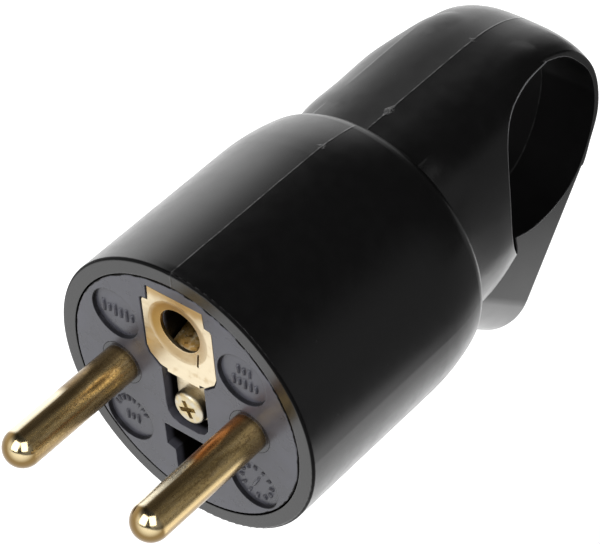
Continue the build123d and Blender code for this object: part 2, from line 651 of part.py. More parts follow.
main()
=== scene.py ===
"""Looks of the angled mains plug: finishes, small raised marks, studio and camera.

Lengths named ``*_mm``, and all numbers that a finish compares with the plug's own
coordinates, are in the plug's own frame (X right, Y back along the pins, Z up, the
face at Y = 0).  Everything in Blender is in metres in the row frame, in which the
plug lies on its rim and on the tip of its cord outlet.
"""
from __future__ import annotations

import logging
import math
from dataclasses import dataclass, field
from enum import Enum
from functools import reduce
from typing import ClassVar
import bpy
import numpy as np
from mathutils import Euler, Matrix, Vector


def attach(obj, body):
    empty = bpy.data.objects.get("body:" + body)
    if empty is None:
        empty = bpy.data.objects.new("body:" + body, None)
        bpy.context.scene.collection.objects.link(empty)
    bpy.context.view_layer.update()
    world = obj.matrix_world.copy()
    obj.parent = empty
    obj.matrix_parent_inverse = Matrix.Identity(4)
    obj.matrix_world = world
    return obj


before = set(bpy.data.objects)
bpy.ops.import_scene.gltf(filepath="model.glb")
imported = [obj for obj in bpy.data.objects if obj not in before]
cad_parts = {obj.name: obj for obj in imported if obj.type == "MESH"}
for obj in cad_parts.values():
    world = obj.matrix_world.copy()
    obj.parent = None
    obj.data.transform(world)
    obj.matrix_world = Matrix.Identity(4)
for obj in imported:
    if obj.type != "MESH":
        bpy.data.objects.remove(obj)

LOG = logging.getLogger("plug")

Colour = tuple[float, float, float]
Point = tuple[float, float, float]
Span = tuple[float, float]  # where a ramp starts and ends
Socket = bpy.types.NodeSocket

ACROSS: Point = (1.0, 0.0, 1.0)  # scale that drops Y, the distance along the pins


# Where the plug lies
@dataclass(frozen=True)
class Rest:
    """How the plug's own frame lies in the row frame."""

    turn: float = math.radians(9.144)
    shift_mm: Point = (0.0, -25.419, 18.312)

    @property
    def back(self) -> Point:
        """Direction of the plug's own Y in the row frame."""
        return (0.0, math.cos(self.turn), math.sin(self.turn))

    @property
    def up(self) -> Point:
        """Direction of the plug's own Z in the row frame."""
        return (0.0, -math.sin(self.turn), math.cos(self.turn))

    def place(self, points_mm: np.ndarray) -> np.ndarray:
        """Turn and shift points into the row frame.

        The formula is a turn about X by ``turn`` followed by the shift, in metres.

        Args:
            points_mm: Array of points (n, 3) in the plug's frame, in millimetres.

        Returns:
            The same points in the row frame, in metres.
        """
        turned = points_mm @ np.array([(1.0, 0.0, 0.0), self.back, self.up])
        return (turned + np.array(self.shift_mm)) / 1000.0

    def coordinates(self, nodes: Nodes) -> Socket:
        """Add nodes that read the plug's own frame in millimetres.

        Args:
            nodes: The material's nodes.

        Returns:
            The vector socket of the Mapping node.
        """
        c, s = math.cos(self.turn), math.sin(self.turn)
        _, y, z = self.shift_mm
        mapping = nodes.add("ShaderNodeMapping", {
            "Vector": nodes.add("ShaderNodeTexCoord").outputs["Object"],
            "Location": (0.0, -(c * y + s * z), -(-s * y + c * z)),
            "Rotation": (-self.turn, 0.0, 0.0),
            "Scale": (1000.0, 1000.0, 1000.0),
        })
        return mapping.outputs["Vector"]


REST = Rest()


# Shader building
class Effect(Enum):
    """The shared surface effects, each one shader node group."""

    GRAIN = "surface grain"
    DUST = "dust flecks"
    SCUFFS = "scuffs"


class Nodes:
    """Short ways to add and join the nodes of one tree."""

    def __init__(self, tree: bpy.types.NodeTree) -> None:
        """Keep the tree that the nodes go into."""
        self.tree = tree

    def feed(self, target: Socket, value: object) -> None:
        """Give an input a plain value, or a link where the value is a socket.

        Args:
            target: The input.
            value: A number, a vector, a colour with its alpha, or a socket.
        """
        if isinstance(value, Socket):
            self.tree.links.new(value, target)
        else:
            target.default_value = value

    def fill(self, node: bpy.types.Node, values: dict) -> None:
        """Feed several inputs of one node.

        Args:
            node: The node.
            values: Input name or number to its value, or to the socket that feeds it.
        """
        for key, value in values.items():
            self.feed(node.inputs[key], value)

    def add(self, kind: str, values: dict | None = None, **settings: object) -> bpy.types.Node:
        """Add one node.

        Args:
            kind: The node's type name.
            values: Input name or number to its value, or to the socket that feeds it.
            settings: Properties of the node itself.

        Returns:
            The new node.
        """
        node = self.tree.nodes.new(kind)
        for name, setting in settings.items():
            setattr(node, name, setting)
        self.fill(node, values or {})
        return node

    def effect(self, effect: Effect, where: Socket, **values: float) -> bpy.types.Node:
        """Place one shared effect's group.

        Args:
            effect: The effect.
            where: The coordinates that it reads.
            values: The group's own inputs by name.

        Returns:
            The group's node.
        """
        return self.add("ShaderNodeGroup", {"Vector": where, **values},
                        node_tree=bpy.data.node_groups[effect.value])

    def math(self, operation: str, a: object, b: object = 0.0, clamp: bool = False) -> Socket:
        """Add a Math node of two inputs.

        Args:
            operation: The operation's name.
            a: First value or socket.
            b: Second value or socket.
            clamp: Whether the result is kept between 0 and 1.

        Returns:
            The result's socket.
        """
        node = self.add("ShaderNodeMath", {0: a, 1: b}, operation=operation, use_clamp=clamp)
        return node.outputs[0]

    def total(self, *values: object) -> Socket:
        """Sum of two or more values or sockets."""
        return reduce(lambda a, b: self.math("ADD", a, b), values)

    def product(self, *values: object) -> Socket:
        """Product of two or more values or sockets."""
        return reduce(lambda a, b: self.math("MULTIPLY", a, b), values)

    def highest(self, *values: object) -> Socket:
        """Highest of two or more values or sockets."""
        return reduce(lambda a, b: self.math("MAXIMUM", a, b), values)

    def minus(self, a: object, b: object) -> Socket:
        """First value or socket less the second."""
        return self.math("SUBTRACT", a, b)

    def size(self, value: object) -> Socket:
        """A value without its sign."""
        return self.math("ABSOLUTE", value)

    def ramp(self, value: object, low: float, high: float,
             at_low: float = 0.0, at_high: float = 1.0) -> Socket:
        """Smoothly map a value from one range to another, held at both ends.

        Args:
            value: The socket read.
            low: Value that gives ``at_low``.
            high: Value that gives ``at_high``.
            at_low: Result at and below ``low``.
            at_high: Result at and above ``high``.

        Returns:
            The result's socket.
        """
        node = self.add("ShaderNodeMapRange", {"Value": value, "From Min": low, "From Max": high,
                                               "To Min": at_low, "To Max": at_high},
                        interpolation_type="SMOOTHSTEP")
        return node.outputs["Result"]

    def noise(self, vector: Socket, scale: object, detail: float = 3.0, rough: float = 0.55) -> Socket:
        """Add a 3-D noise.

        Args:
            vector: The coordinates that it reads.
            scale: Its scale, value or socket.
            detail: Number of its finer layers.
            rough: How strong the finer layers are.

        Returns:
            The value's socket.
        """
        node = self.add("ShaderNodeTexNoise", {"Vector": vector, "Scale": scale, "Detail": detail,
                                               "Roughness": rough}, noise_dimensions="3D")
        return node.outputs["Fac"]

    def about(self, vector: Socket, scale: Point, centre: Point = (0.0, 0.0, 0.0)) -> Socket:
        """Measure a vector from a centre and scale it along its three axes.

        Args:
            vector: The vector's socket.
            scale: Factors along X, Y and Z.
            centre: The point that becomes zero.

        Returns:
            The result's socket.
        """
        shift = tuple(-c * s for c, s in zip(centre, scale))
        node = self.add("ShaderNodeMapping", {"Vector": vector, "Location": shift, "Scale": scale})
        return node.outputs["Vector"]

    def measure(self, operation: str, a: object, b: object = (0.0, 0.0, 0.0)) -> Socket:
        """Work out one number from two vectors.

        Args:
            operation: DOT_PRODUCT, DISTANCE, or LENGTH, which reads only the first.
            a: First vector or socket.
            b: Second vector or socket.

        Returns:
            The number's socket.
        """
        return self.add("ShaderNodeVectorMath", {0: a, 1: b}, operation=operation).outputs["Value"]

    def split(self, vector: Socket) -> tuple[Socket, Socket, Socket]:
        """Sockets of a vector's X, Y and Z."""
        parts = self.add("ShaderNodeSeparateXYZ", {"Vector": vector}).outputs
        return parts["X"], parts["Y"], parts["Z"]

    def normal(self) -> Socket:
        """Socket of the direction that the surface faces."""
        return self.add("ShaderNodeNewGeometry").outputs["Normal"]

    def mix(self, share: object, a: object, b: object) -> Socket:
        """Mix two colours.

        Args:
            share: Share of the second colour, value or socket.
            a: First colour, RGB or socket.
            b: Second colour, RGB or socket.

        Returns:
            The mixed colour's socket.
        """
        colours = {6: a, 7: b}
        values = {key: c if isinstance(c, Socket) else (*c, 1.0) for key, c in colours.items()}
        return self.add("ShaderNodeMix", {0: share, **values}, data_type="RGBA").outputs[2]


def fresh_nodes(owner: bpy.types.Material | bpy.types.World) -> Nodes:
    """Turn on the nodes of a material or world and empty its tree.

    Args:
        owner: The material or world.

    Returns:
        Short ways into its tree.
    """
    owner.use_nodes = True
    owner.node_tree.nodes.clear()
    return Nodes(owner.node_tree)


# Shared effects
def effect_group(effect: Effect, inputs: dict[str, float],
                 outputs: tuple[str, ...]) -> tuple[Nodes, dict, dict]:
    """Start a shader node group with named sockets.

    Args:
        effect: The effect that the group makes.
        inputs: Names and standard values of the value inputs; a Vector input is always there.
        outputs: Names of the value outputs.

    Returns:
        The group's nodes, its input sockets and the input sockets of its output node.
    """
    tree = bpy.data.node_groups.new(effect.value, "ShaderNodeTree")
    tree.interface.new_socket("Vector", in_out="INPUT", socket_type="NodeSocketVector")
    for name, value in inputs.items():
        socket = tree.interface.new_socket(name, in_out="INPUT", socket_type="NodeSocketFloat")
        socket.default_value = value
    for name in outputs:
        tree.interface.new_socket(name, in_out="OUTPUT", socket_type="NodeSocketFloat")
    nodes = Nodes(tree)
    given = {s.name: s for s in nodes.add("NodeGroupInput").outputs if s.name}
    result = {s.name: s for s in nodes.add("NodeGroupOutput").inputs if s.name}
    return nodes, given, result


def make_grain_group() -> None:
    """Fine moulded or rolled grain: a fine noise as height, a broad one as mask."""
    nodes, given, result = effect_group(Effect.GRAIN, {"Size": 6.0, "Depth": 0.002}, ("Height", "Mask"))
    fine = nodes.noise(given["Vector"], given["Size"], 4.0, 0.5)
    broad = nodes.noise(given["Vector"], nodes.product(given["Size"], 0.08), 2.0, 0.5)
    nodes.feed(result["Height"], nodes.product(nodes.minus(fine, 0.5), given["Depth"]))
    nodes.feed(result["Mask"], broad)


def make_dust_group() -> None:
    """Sparse specks of dust: the ragged middles of a few of the cells of a cell pattern."""
    nodes, given, result = effect_group(Effect.DUST, {"Size": 1.2, "Share": 0.12}, ("Mask",))
    cells = nodes.add("ShaderNodeTexVoronoi", {"Vector": given["Vector"], "Scale": given["Size"]}, feature="F1")
    lone = nodes.add("ShaderNodeSeparateColor", {"Color": cells.outputs["Color"]}).outputs["Red"]
    ragged = nodes.product(nodes.noise(given["Vector"], 9.0), 0.16)
    middle = nodes.ramp(nodes.total(cells.outputs["Distance"], ragged), 0.13, 0.09)
    nodes.feed(result["Mask"], nodes.product(middle, nodes.math("LESS_THAN", lone, given["Share"])))


def make_scuff_group() -> None:
    """Short scuffs along Y: a noise drawn out along the pins, cut at a level."""
    nodes, given, result = effect_group(Effect.SCUFFS, {"Level": 0.6, "Size": 2.5}, ("Mask", "Height"))
    lines = nodes.noise(nodes.about(given["Vector"], (1.0, 0.16, 1.0)), given["Size"], 5.0, 0.7)
    cut = nodes.add("ShaderNodeMapRange", {"Value": lines, "From Min": given["Level"],
                                           "From Max": nodes.total(given["Level"], 0.12)})
    nodes.feed(result["Mask"], cut.outputs["Result"])
    nodes.feed(result["Height"], nodes.product(lines, 0.01))


# Finishes
class Finish:
    """A finish that can make its material: subclasses fill in the nodes."""

    name: str = "finish"

    def material(self) -> bpy.types.Material:
        """Make the material and let the subclass dress it.

        Returns:
            The finished material.
        """
        material = bpy.data.materials.new(self.name)
        nodes = fresh_nodes(material)
        shader = nodes.add("ShaderNodeBsdfPrincipled")
        nodes.add("ShaderNodeOutputMaterial", {"Surface": shader.outputs["BSDF"]})
        self.dress(nodes, shader, REST.coordinates(nodes))
        return material

    def dress(self, nodes: Nodes, shader: bpy.types.Node, where: Socket) -> None:
        """Fill in the shader's inputs.

        Args:
            nodes: The material's nodes.
            shader: The Principled shader.
            where: The plug's own coordinates in millimetres.
        """
        raise NotImplementedError

    @staticmethod
    def relief(nodes: Nodes, shader: bpy.types.Node, height_mm: Socket, edge_mm: float) -> None:
        """Join a height and softly rounded edges to the shader's normal.

        Args:
            nodes: The material's nodes.
            shader: The shader that takes the normal.
            height_mm: Socket of the height.
            edge_mm: Radius at which edges look rounded.
        """
        edges = nodes.add("ShaderNodeBevel", {"Radius": edge_mm / 1000.0}, samples=6)
        bump = nodes.add("ShaderNodeBump", {"Strength": 1.0, "Distance": 0.001, "Height": height_mm,
                                            "Normal": edges.outputs["Normal"]})
        nodes.feed(shader.inputs["Normal"], bump.outputs["Normal"])


@dataclass(frozen=True)
class MouldedPvc(Finish):
    """Satin black soft plastic with the line where the mould's halves met at X = 0."""

    name: str = "black moulded plastic"
    colour: Colour = (0.0032, 0.0031, 0.0032)
    dust: Colour = (0.05, 0.05, 0.052)
    flash: Colour = (0.045, 0.045, 0.045)
    # pale colour of the highlight painted on the opening's edge
    edge_highlight: Colour = (0.3, 0.3, 0.31)
    roughness: float = 0.24
    refraction: float = 1.5
    shine: float = 0.5
    opening_mm: Point = (0.0, 56.1, 1.5)
    opening_half_mm: tuple[float, float] = (12.4, 12.1)
    seam_rise_mm: float = 0.09
    seam_width_mm: float = 1.7
    seam_line_mm: float = 0.02
    lump_mm: float = 0.1
    fleck_mm: float = 0.006
    spots: tuple[Point, ...] = ((38.4, 1.5, 1.0), (54.6, 0.5, 0.7), (26.2, 0.8, 0.5))
    near_share: Span = (1.2, 1.3)
    inward: Span = (0.001, 0.006)
    highlight_radius_mm: float = 0.3
    highlight_along_mm: Span = (58.0, 65.0)
    rim_radius_mm: Span = (18.22, 18.4)
    rim_front_mm: Span = (0.25, 0.45)
    underside_rise: Span = (-0.14, -0.03)
    underside_mm: Span = (33.0, 34.5)
    underside_gain: float = 0.7
    dulling: float = 0.47

    def inside_loop(self, nodes: Nodes, where: Socket) -> tuple[Socket, Socket]:
        """Masks of the loop's inner wall and of the places near the opening.

        Near means inside an ellipse about the opening's middle that is a quarter larger
        than the opening; the inner wall is what lies near and faces that middle.

        Args:
            nodes: The material's nodes.
            where: The plug's own coordinates.

        Returns:
            Sockets of the inner wall's mask and of the near mask.
        """
        half_y, half_z = self.opening_half_mm
        share = nodes.about(where, (0.0, 1.0 / half_y, 1.0 / half_z), self.opening_mm)
        near = nodes.ramp(nodes.measure("LENGTH", share), *self.near_share, 1.0, 0.0)
        middle = tuple(REST.place(np.array([self.opening_mm]))[0])
        place = nodes.add("ShaderNodeTexCoord").outputs["Object"]
        inward = nodes.add("ShaderNodeVectorMath", {0: middle, 1: place}, operation="SUBTRACT")
        faces = nodes.measure("DOT_PRODUCT", inward.outputs["Vector"], nodes.normal())
        return nodes.product(nodes.ramp(faces, *self.inward), near), near

    def seam(self, nodes: Nodes, where: Socket) -> tuple[Socket, Socket]:
        """Height and mask of the mould's parting line.

        The height falls off as exp(-|X| / width) on both sides of X = 0, behind the rim's
        front, plus a narrow line on X = 0 and a few ragged spots of flash on it.  Each of
        the spots gives its Y, its half length and its share.

        Args:
            nodes: The material's nodes.
            where: The plug's own coordinates.

        Returns:
            Sockets of the height in millimetres and of the pale marks' mask.
        """
        x, y, _ = nodes.split(where)
        wander = nodes.product(nodes.minus(nodes.noise(where, 0.25, 2.0), 0.5), 0.12)
        off = nodes.size(nodes.total(x, wander))
        fall = nodes.math("POWER", math.e, nodes.product(off, -1.0 / self.seam_width_mm))
        rise = nodes.product(fall, nodes.ramp(y, 0.3, 1.5, 0.0, self.seam_rise_mm))
        broken = nodes.ramp(nodes.noise(where, 0.7, 3.0), 0.36, 0.6, 0.2, 1.0)
        line = nodes.product(nodes.ramp(off, 0.03, 0.17, 1.0, 0.0), broken)
        spots = []
        for place, half, share in self.spots:
            along = nodes.product(nodes.size(nodes.minus(y, place)), 1.0 / half)
            spots.append(nodes.ramp(nodes.total(along, nodes.product(off, 1.3)), 0.4, 1.0, share, 0.0))
        ragged = nodes.ramp(nodes.noise(where, 1.8, 4.0, 0.7), 0.42, 0.6)
        lumps = nodes.product(nodes.highest(*spots), ragged)
        marks = (nodes.product(line, self.seam_line_mm), nodes.product(lumps, self.lump_mm))
        return nodes.total(rise, *marks), nodes.highest(nodes.product(line, 0.3), nodes.product(lumps, 0.45))

    def painted_edge_highlight(self, nodes: Nodes, near: Socket) -> Socket:
        """Mask of the opening's sharp edges, where a pale highlight is painted: where the rounded normal leaves
        the true one.

        Args:
            nodes: The material's nodes.
            near: Mask of the places near the opening.

        Returns:
            The mask's socket.
        """
        rounded = nodes.add("ShaderNodeBevel", {"Radius": self.highlight_radius_mm / 1000.0}, samples=6)
        true = nodes.add("ShaderNodeNewGeometry").outputs["True Normal"]
        agree = nodes.measure("DOT_PRODUCT", rounded.outputs["Normal"], true)
        return nodes.product(nodes.ramp(agree, 0.8, 0.96, 1.0, 0.0), near)

    def dull_rim(self, nodes: Nodes, where: Socket) -> Socket:
        """Mask of the rim's rounded outer edge: close to the front and to the outer radius.

        Args:
            nodes: The material's nodes.
            where: The plug's own coordinates.

        Returns:
            The mask's socket.
        """
        radius = nodes.measure("LENGTH", nodes.about(where, ACROSS))
        _, y, _ = nodes.split(where)
        front = nodes.ramp(y, *self.rim_front_mm, 1.0, 0.0)
        return nodes.product(nodes.ramp(radius, *self.rim_radius_mm), front)

    def underside(self, nodes: Nodes, where: Socket) -> Socket:
        """Mask of the glossier surfaces behind the body that face a little downwards.

        Args:
            nodes: The material's nodes.
            where: The plug's own coordinates.

        Returns:
            The mask's socket.
        """
        rise = nodes.measure("DOT_PRODUCT", nodes.normal(), REST.up)
        _, y, _ = nodes.split(where)
        down = nodes.ramp(rise, *self.underside_rise, 1.0, 0.0)
        return nodes.product(down, nodes.ramp(y, *self.underside_mm))

    def dress(self, nodes: Nodes, shader: bpy.types.Node, where: Socket) -> None:
        """Black with faint cloudiness, a few dust flecks, the parting line and a painted highlight on the
        opening's edge.

        Args:
            nodes: The material's nodes.
            shader: The Principled shader.
            where: The plug's own coordinates in millimetres.
        """
        grain = nodes.effect(Effect.GRAIN, where, Size=7.0, Depth=0.0012)
        dust = nodes.effect(Effect.DUST, where, Size=0.55, Share=0.05).outputs["Mask"]
        seam_height, seam_mask = self.seam(nodes, where)
        inside, near = self.inside_loop(nodes, where)
        _, y, _ = nodes.split(where)
        base = nodes.mix(grain.outputs["Mask"], self.colour, tuple(1.25 * c for c in self.colour))
        base = nodes.mix(nodes.product(dust, 0.3), base, self.dust)
        base = nodes.mix(seam_mask, base, self.flash)
        # painted highlight on the opening's near edges, fading out from Y 58 to 65 mm
        edge_highlight = nodes.product(self.painted_edge_highlight(nodes, near), nodes.ramp(y, *self.highlight_along_mm, 0.9, 0.0))
        base = nodes.mix(edge_highlight, base, self.edge_highlight)
        rough = nodes.ramp(grain.outputs["Mask"], 0.3, 0.7, self.roughness - 0.02, self.roughness + 0.03)
        rough = nodes.total(rough, nodes.product(dust, 0.2), nodes.product(inside, 0.2))
        dull = nodes.highest(inside, self.dull_rim(nodes, where))
        gloss = nodes.product(self.underside(nodes, where), self.underside_gain)
        nodes.fill(shader, {
            "Base Color": base,
            "Roughness": rough,
            "Specular IOR Level": nodes.minus(self.shine, nodes.product(dull, self.dulling)),
            "IOR": nodes.total(self.refraction, gloss),
        })
        height = nodes.total(grain.outputs["Height"], seam_height, nodes.product(dust, self.fleck_mm))
        self.relief(nodes, shader, height, 0.15)


class Mark(Enum):
    """The four round marks on the insert, by X and Z of their centres in millimetres."""

    UPPER_LEFT = (-9.5, 7.6)
    UPPER_RIGHT = (9.1, 7.7)
    LOWER_LEFT = (-9.4, -8.5)
    LOWER_RIGHT = (9.3, -8.5)


@dataclass(frozen=True)
class HardMoulding(Finish):
    """Slate-dark hard plastic of the insert, semi-glossy with fine mottling."""

    name: str = "dark hard moulding"
    colour: Colour = (0.054, 0.0545, 0.068)
    fleck: Colour = (0.2, 0.2, 0.21)
    # near-black of the painted shade in the hollows and round the rim, and of dirt at the marks
    shade_and_dirt: Colour = (0.003, 0.0025, 0.002)
    roughness: float = 0.3
    refraction: float = 1.45
    shine: float = 0.5
    mark_radius_mm: float = 3.4
    mark_line_mm: Span = (0.03, 0.17)
    rim_mm: Span = (16.24, 16.36)
    hollow_mm: Span = (0.6, 1.5)
    mottling: float = 0.16
    dulling: float = 0.45

    def shade_and_dirt_places(self, nodes: Nodes, where: Socket) -> Socket:
        """Mask of painted shade in the deep hollows and the ragged gap round the rim, and of painted shade with
        dirt round the marks' edges.

        Args:
            nodes: The material's nodes.
            where: The plug's own coordinates.

        Returns:
            The mask's socket.
        """
        flat = nodes.about(where, ACROSS)
        _, y, _ = nodes.split(where)
        ragged = nodes.product(nodes.minus(nodes.noise(flat, 0.45, 4.0, 0.7), 0.5), 0.7)
        rim = nodes.ramp(nodes.total(nodes.measure("LENGTH", flat), ragged), *self.rim_mm)
        # painted shade: darker with depth into the hollows and along the gap round the rim; painted shade with
        # dirt at the marks' edges
        dark = [nodes.ramp(y, *self.hollow_mm), rim]
        for x, z in (mark.value for mark in Mark):
            off = nodes.total(nodes.measure("DISTANCE", flat, (x, 0.0, z)), nodes.product(ragged, 0.3))
            edge = nodes.size(nodes.minus(off, self.mark_radius_mm))
            dark.append(nodes.ramp(edge, *self.mark_line_mm, 0.75, 0.0))
        return nodes.highest(*dark)

    def dress(self, nodes: Nodes, shader: bpy.types.Node, where: Socket) -> None:
        """Slate with soft mottling, a few pale flecks, painted shade in the hollows and round the rim, and
        painted shade with dirt round the marks' edges.

        Args:
            nodes: The material's nodes.
            shader: The Principled shader.
            where: The plug's own coordinates in millimetres.
        """
        grain = nodes.effect(Effect.GRAIN, where, Size=5.0, Depth=0.004)
        dust = nodes.effect(Effect.DUST, where, Size=0.9, Share=0.07).outputs["Mask"]
        patch = nodes.noise(where, 0.35, 4.0)
        darker = tuple((1.0 - self.mottling) * c for c in self.colour)
        paler = tuple((1.0 + self.mottling) * c for c in self.colour)
        base = nodes.mix(nodes.ramp(patch, 0.35, 0.7), darker, paler)
        base = nodes.mix(nodes.product(dust, 0.5), base, self.fleck)
        # painted shade, with dirt at the marks, darkens the colour and lowers the specular level
        dark = self.shade_and_dirt_places(nodes, where)
        nodes.fill(shader, {
            "Base Color": nodes.mix(dark, base, self.shade_and_dirt),
            "Roughness": nodes.ramp(patch, 0.3, 0.7, self.roughness - 0.05, self.roughness + 0.07),
            "Specular IOR Level": nodes.minus(self.shine, nodes.product(dark, self.dulling)),
            "IOR": self.refraction,
        })
        self.relief(nodes, shader, grain.outputs["Height"], 0.15)


@dataclass(frozen=True)
class TurnedBrass(Finish):
    """Turned and drawn brass of the pins, tarnished in bands and scuffed along its length."""

    name: str = "scuffed pin brass"
    colour: Colour = (0.66, 0.47, 0.2)
    tarnish: Colour = (0.2, 0.125, 0.05)
    scuffed: Colour = (0.66, 0.52, 0.3)
    # brown of the painted dark reflection on the shank's upper side
    brown: Colour = (0.12, 0.076, 0.033)
    # colour of the painted shade on the shank's lower side
    lower: Colour = (0.2, 0.13, 0.055)
    orange: Colour = (0.42, 0.15, 0.035)
    # golden of the painted highlight streak on the right pin's lower right
    golden: Colour = (0.72, 0.54, 0.27)
    # pale colour of the painted highlight strip on the shank's upper-left edge
    cream: Colour = (0.8, 0.71, 0.52)
    # painted highlight in the middle and painted shade at the edge of the round ends
    tip_middle: Colour = (0.66, 0.54, 0.32)
    tip_edge: Colour = (0.19, 0.122, 0.045)
    # painted contact shade at the pins' foot, and the near-black paint of the flush ring
    foot_shade: Colour = (0.05, 0.032, 0.018)
    ring_dark: Colour = (0.014, 0.014, 0.018)
    roughness: float = 0.2
    upper_left: Point = (-0.8014, -0.0951, 0.5906)
    # direction towards the camera, where the tips' highlight is painted
    highlight_towards: Point = (0.502, -0.645, 0.577)
    highlight_facing: Span = (0.7, 0.97)
    brown_side: Span = (0.05, 0.4)
    lower_side: Span = (-0.85, -0.45)
    stain_side: Span = (0.45, 0.8)
    cream_side: Span = (0.64, 0.72)
    stain_mm: Span = (-10.0, -7.0)
    streak_mm: Span = (-5.0, -2.5)
    cream_mm: Span = (-12.0, -10.0)
    tip_mm: Span = (-17.2, -16.7)
    foot_mm: Span = (-1.0, -0.04)
    ring_mm: Span = (-0.03, -0.01)

    def shank(self, nodes: Nodes, stained: Socket, scuffed: Socket, side: Socket) -> Socket:
        """Colour round the shank: brass with stains and scuffs, a brown painted dark reflection above, painted
        shade below.

        Args:
            nodes: The material's nodes.
            stained: Mask of the stains.
            scuffed: Mask of the scuffs.
            side: The normal's part towards the upper left.

        Returns:
            The colour's socket.
        """
        base = nodes.mix(stained, self.colour, self.tarnish)
        base = nodes.mix(nodes.product(scuffed, 0.35), base, self.scuffed)
        # painted dark reflection above and painted shade below, by the way the surface faces
        base = nodes.mix(nodes.product(nodes.ramp(side, *self.brown_side), 0.8), base, self.brown)
        return nodes.mix(nodes.ramp(side, *self.lower_side, 0.75, 0.0), base, self.lower)

    def rubbed(self, nodes: Nodes, base: Socket, side: Socket, where: Socket) -> tuple[Socket, Socket]:
        """Lay the painted highlight strips and an orange stain over the shank's colour.

        A pale highlight is painted where side is over 0.7 on the front half of both pins; on the
        right pin also a golden painted highlight streak about side -0.7 and an orange stain near the foot.

        Args:
            nodes: The material's nodes.
            base: The shank's colour.
            side: The normal's part towards the upper left.
            where: The plug's own coordinates.

        Returns:
            Sockets of the new colour and of the mask of the pale painted highlight strips.
        """
        across, along, _ = nodes.split(where)
        on_right = nodes.math("GREATER_THAN", across, 0.0)
        foot = nodes.ramp(along, *self.stain_mm, 0.0, 0.8)
        stain = nodes.product(nodes.ramp(side, *self.stain_side), on_right, foot)
        base = nodes.mix(stain, base, self.orange)
        # painted highlight: golden streak on the right pin's lower right
        streak = nodes.ramp(nodes.size(nodes.total(side, 0.7)), 0.08, 0.2, 1.0, 0.0)
        streak = nodes.product(streak, on_right, nodes.ramp(along, *self.streak_mm, 1.0, 0.0))
        base = nodes.mix(streak, base, self.golden)
        # painted highlight: pale strip on the upper-left edge over the front half
        edge = nodes.ramp(side, *self.cream_side)
        front = nodes.ramp(nodes.minus(along, nodes.product(edge, 2.0)), *self.cream_mm, 1.0, 0.0)
        cream = nodes.product(edge, front)
        return nodes.mix(cream, base, self.cream), cream

    def dress(self, nodes: Nodes, shader: bpy.types.Node, where: Socket) -> None:
        """Metal whose colour and roughness follow the way it faces, the colour through painted highlights and
        shade, with long scuffs and tarnish.

        The round ends (Y below -17 mm) are cleaner, with a painted highlight where they face
        the camera and painted shade at their edge; painted contact shade darkens the foot, and
        the flush ring at Y = 0 is painted near-black and not metallic, like the insert.

        Args:
            nodes: The material's nodes.
            shader: The Principled shader.
            where: The plug's own coordinates in millimetres.
        """
        scuffs = nodes.effect(Effect.SCUFFS, where, Level=0.48, Size=2.4)
        grain = nodes.effect(Effect.GRAIN, where, Size=7.0, Depth=0.002)
        streaks = nodes.noise(nodes.about(where, (1.0, 0.07, 1.0)), 1.1, 4.0, 0.6)
        speckle = nodes.noise(where, 3.2, 4.0, 0.65)
        stains = nodes.total(nodes.product(streaks, 0.6), nodes.product(speckle, 0.4))
        _, along, _ = nodes.split(where)
        normal = nodes.normal()
        wander = nodes.product(nodes.minus(streaks, 0.5), 0.12)
        side = nodes.total(nodes.measure("DOT_PRODUCT", normal, self.upper_left), wander)
        base = self.shank(nodes, nodes.ramp(stains, 0.42, 0.6, 0.0, 0.8), scuffs.outputs["Mask"], side)
        # painted highlights and an orange stain over the shank
        base, cream = self.rubbed(nodes, base, side, where)
        tip = nodes.ramp(along, *self.tip_mm, 1.0, 0.0)
        # painted highlight on the tips where they face the camera, painted shade at their edge
        tip_highlight = nodes.ramp(nodes.measure("DOT_PRODUCT", normal, self.highlight_towards), *self.highlight_facing)
        base = nodes.mix(tip, base, nodes.mix(tip_highlight, self.tip_edge, self.tip_middle))
        # painted contact shade darkening towards the foot
        base = nodes.mix(nodes.ramp(along, *self.foot_mm, 0.0, 0.7), base, self.foot_shade)
        # the flush ring at Y = 0 is painted near-black and not metallic
        ring = nodes.ramp(along, *self.ring_mm)
        metal = nodes.total(0.85, nodes.product(nodes.highest(tip, cream), 0.15))
        rough = nodes.ramp(speckle, 0.3, 0.7, self.roughness - 0.03, self.roughness + 0.1)
        nodes.fill(shader, {
            "Base Color": nodes.mix(ring, base, self.ring_dark),
            "Metallic": nodes.product(metal, nodes.minus(1.0, ring)),
            "Roughness": nodes.minus(rough, nodes.product(tip, 0.1)),
        })
        height = nodes.total(scuffs.outputs["Height"], grain.outputs["Height"])
        self.relief(nodes, shader, nodes.product(height, nodes.minus(1.0, nodes.product(tip, 0.8))), 0.08)


